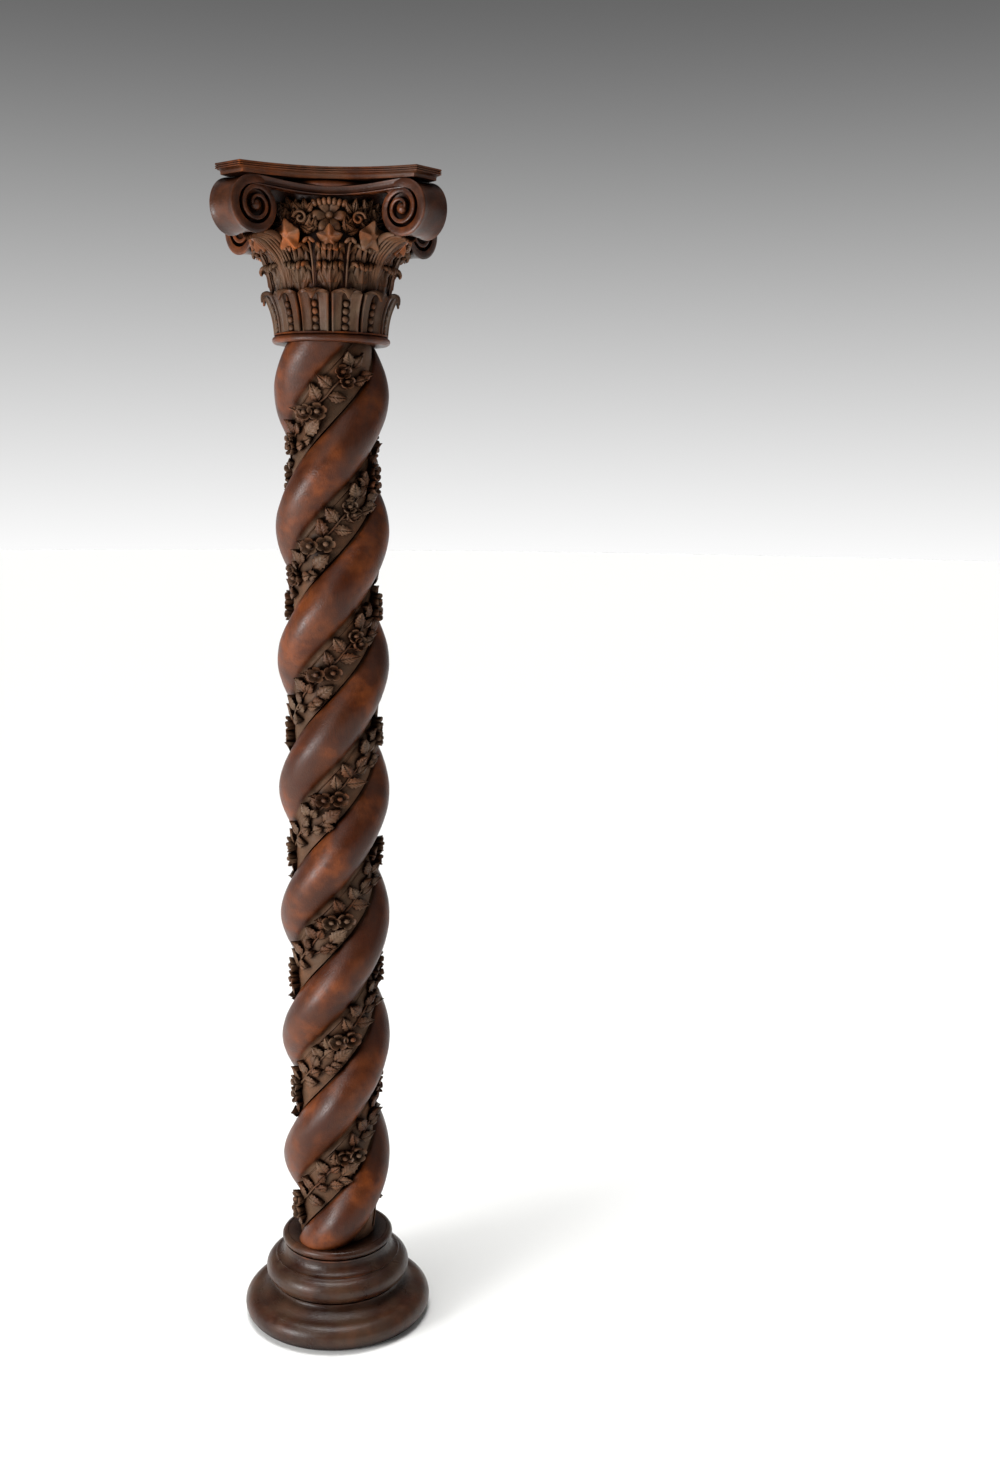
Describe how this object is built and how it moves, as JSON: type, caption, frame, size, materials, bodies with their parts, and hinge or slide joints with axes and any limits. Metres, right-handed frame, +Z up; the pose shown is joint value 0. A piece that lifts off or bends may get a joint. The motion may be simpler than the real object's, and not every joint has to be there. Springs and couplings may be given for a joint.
{
  "type": "barley twist column",
  "caption": "Carved wooden barley twist column with a round moulded base, a flowering vine in the hollows, a leafy capital with corner scrolls and a moulded abacus",
  "frame": {"origin": "centre of the base's flat underside, on the floor", "axes": "+Z up along the column's axis, -Y out of the capital's front face, +X to the right of that face"},
  "size_m": [0.3842, 0.3842, 2.07],
  "materials": {
    "base_wood": "waxed dark stained walnut, turned, satin",
    "shaft_wood": "waxed dark stained walnut, rubbed reddish on the strands, satin",
    "capital_wood": "waxed dark stained walnut, dusty in the carving, satin on the scrolls",
    "abacus_wood": "waxed dark stained walnut, rubbed reddish on the edges, satin"
  },
  "bodies": {
    "root": {"turned_base": "base_wood", "twisted_shaft": "shaft_wood", "carved_capital": "capital_wood", "abacus": "abacus_wood"}
  },
  "joints": []
}
